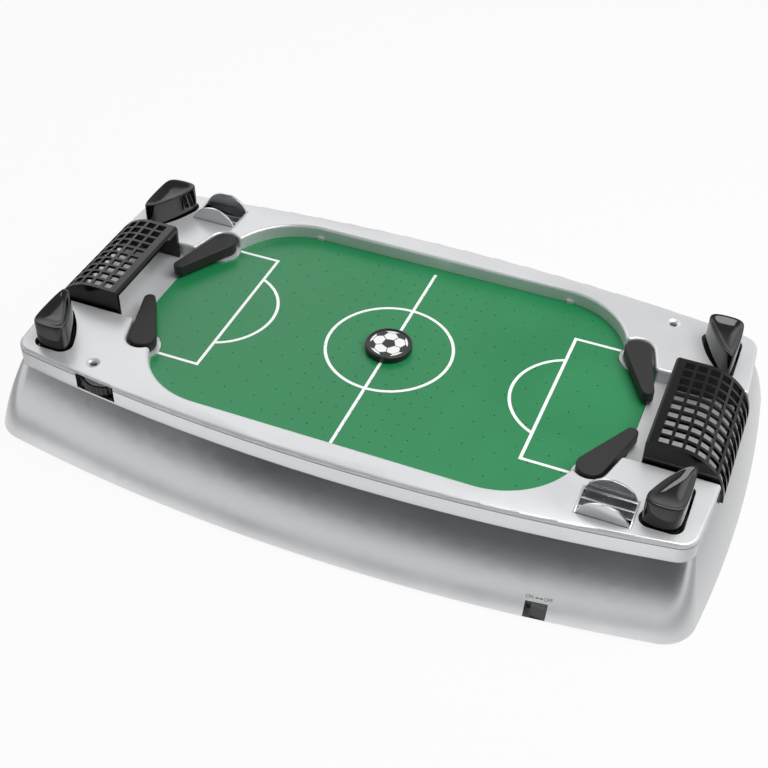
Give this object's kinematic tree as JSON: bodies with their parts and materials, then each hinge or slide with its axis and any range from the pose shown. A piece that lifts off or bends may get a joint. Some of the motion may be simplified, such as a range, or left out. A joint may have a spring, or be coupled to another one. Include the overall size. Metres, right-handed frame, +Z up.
{
  "type": "tabletop air soccer game",
  "caption": "Table-top air soccer game with a perforated pitch, push-button flippers, net goals, score wheels and puck racks.",
  "frame": {"origin": "under the middle of the game, on the surface that its feet stand on", "axes": "+X towards the right goal, +Y to the far long side, +Z up"},
  "size_m": [0.5056, 0.302, 0.0805],
  "materials": {
    "silver_plastic": "satin silver paint",
    "deck_silver": "satin silver paint",
    "rack_silver": "satin silver paint",
    "door_silver": "satin silver paint",
    "pitch_print": "printed sheet",
    "inner_plastic": "as moulded",
    "gear_plastic": "as moulded",
    "goal_black": "gloss",
    "button_black": "gloss",
    "flipper_grey": "matte",
    "wheel_plastic": "matte, white numbers",
    "puck_print": "printed football panels",
    "switch_black": "matte",
    "steel": "plated",
    "spring_steel": "spring steel",
    "rubber": "matte"
  },
  "bodies": {
    "game": {"lower_housing": "silver_plastic", "deck": "deck_silver", "pitch_board": "pitch_print", "air_tray": "inner_plastic", "fan_motor": "steel", "goal_right": "goal_black", "goal_left": "goal_black", "leaf_spring_back_right": "spring_steel", "leaf_spring_back_left": "spring_steel", "leaf_spring_front_left": "spring_steel", "leaf_spring_front_right": "spring_steel", "puck_rack_front": "rack_silver", "puck_rack_back": "rack_silver", "battery_door": "door_silver", "battery_contacts": "spring_steel", "switch_body": "inner_plastic", "deck_screws": "steel", "rubber_feet": "rubber"},
    "button_back_right": {"push_button_back_right": "button_black"},
    "rack_back_right": {"button_rack_back_right": "gear_plastic"},
    "flipper_back_right": {"flipper_back_right": "flipper_grey", "flipper_pinion_back_right": "gear_plastic"},
    "button_back_left": {"push_button_back_left": "button_black"},
    "rack_back_left": {"button_rack_back_left": "gear_plastic"},
    "flipper_back_left": {"flipper_back_left": "flipper_grey", "flipper_pinion_back_left": "gear_plastic"},
    "button_front_left": {"push_button_front_left": "button_black"},
    "rack_front_left": {"button_rack_front_left": "gear_plastic"},
    "flipper_front_left": {"flipper_front_left": "flipper_grey", "flipper_pinion_front_left": "gear_plastic"},
    "button_front_right": {"push_button_front_right": "button_black"},
    "rack_front_right": {"button_rack_front_right": "gear_plastic"},
    "flipper_front_right": {"flipper_front_right": "flipper_grey", "flipper_pinion_front_right": "gear_plastic"},
    "wheel_back": {"score_wheel_back": "wheel_plastic"},
    "wheel_front": {"score_wheel_front": "wheel_plastic"},
    "fan": {"fan_impeller": "inner_plastic"},
    "switch": {"switch_slider": "switch_black"},
    "puck": {"match_puck": "puck_print"}
  },
  "joints": [
    {"name": "press_back_right", "type": "slide", "parent": "game", "child": "button_back_right", "axis": [0, 0, -1], "range_m": [0, 0.008], "stiffness_N_per_m": 400, "springref_m": -0.003, "deforming": ["leaf_spring_back_right"]},
    {"name": "drive_back_right", "type": "slide", "parent": "game", "child": "rack_back_right", "axis": [1, 0, 0], "range_m": [0, 0.008]},
    {"name": "kick_back_right", "type": "hinge", "parent": "game", "child": "flipper_back_right", "pos_m": [0.159, 0.0603, 0.0514], "axis": [0, 0, 1], "range_deg": [-43.14, 0]},
    {"name": "press_back_left", "type": "slide", "parent": "game", "child": "button_back_left", "axis": [0, 0, -1], "range_m": [0, 0.008], "stiffness_N_per_m": 400, "springref_m": -0.003, "deforming": ["leaf_spring_back_left"]},
    {"name": "drive_back_left", "type": "slide", "parent": "game", "child": "rack_back_left", "axis": [-1, 0, 0], "range_m": [0, 0.008]},
    {"name": "kick_back_left", "type": "hinge", "parent": "game", "child": "flipper_back_left", "pos_m": [-0.159, 0.0603, 0.0514], "axis": [0, 0, 1], "range_deg": [0, 43.14]},
    {"name": "press_front_left", "type": "slide", "parent": "game", "child": "button_front_left", "axis": [0, 0, -1], "range_m": [0, 0.008], "stiffness_N_per_m": 400, "springref_m": -0.003, "deforming": ["leaf_spring_front_left"]},
    {"name": "drive_front_left", "type": "slide", "parent": "game", "child": "rack_front_left", "axis": [-1, 0, 0], "range_m": [0, 0.008]},
    {"name": "kick_front_left", "type": "hinge", "parent": "game", "child": "flipper_front_left", "pos_m": [-0.159, -0.0603, 0.0514], "axis": [0, 0, 1], "range_deg": [-43.14, 0]},
    {"name": "press_front_right", "type": "slide", "parent": "game", "child": "button_front_right", "axis": [0, 0, -1], "range_m": [0, 0.008], "stiffness_N_per_m": 400, "springref_m": -0.003, "deforming": ["leaf_spring_front_right"]},
    {"name": "drive_front_right", "type": "slide", "parent": "game", "child": "rack_front_right", "axis": [1, 0, 0], "range_m": [0, 0.008]},
    {"name": "kick_front_right", "type": "hinge", "parent": "game", "child": "flipper_front_right", "pos_m": [0.159, -0.0603, 0.0514], "axis": [0, 0, 1], "range_deg": [0, 43.14]},
    {"name": "score_back", "type": "hinge", "parent": "game", "child": "wheel_back", "pos_m": [0.166, 0.09671, 0.05], "axis": [0, 0, 1], "continuous": true},
    {"name": "score_front", "type": "hinge", "parent": "game", "child": "wheel_front", "pos_m": [-0.166, -0.09671, 0.05], "axis": [0, 0, 1], "continuous": true},
    {"name": "fan_spin", "type": "hinge", "parent": "game", "child": "fan", "pos_m": [-0.07, 0, 0.024], "axis": [0, 0, 1], "continuous": true},
    {"name": "switch_slide", "type": "slide", "parent": "game", "child": "switch", "axis": [-1, 0, 0], "range_m": [0, 0.004]},
    {"name": "puck_glide", "type": "slide", "parent": "game", "child": "puck", "axis": [1, 0, 0], "range_m": [-0.1, 0.1]}
  ],
  "couplings": [
    {"joint": "drive_back_right", "follows": "press_back_right", "ratio": 1},
    {"joint": "kick_back_right", "follows": "press_back_right", "rad_per_m": -94.118},
    {"joint": "drive_back_left", "follows": "press_back_left", "ratio": 1},
    {"joint": "kick_back_left", "follows": "press_back_left", "rad_per_m": 94.118},
    {"joint": "drive_front_left", "follows": "press_front_left", "ratio": 1},
    {"joint": "kick_front_left", "follows": "press_front_left", "rad_per_m": -94.118},
    {"joint": "drive_front_right", "follows": "press_front_right", "ratio": 1},
    {"joint": "kick_front_right", "follows": "press_front_right", "rad_per_m": 94.118}
  ]
}
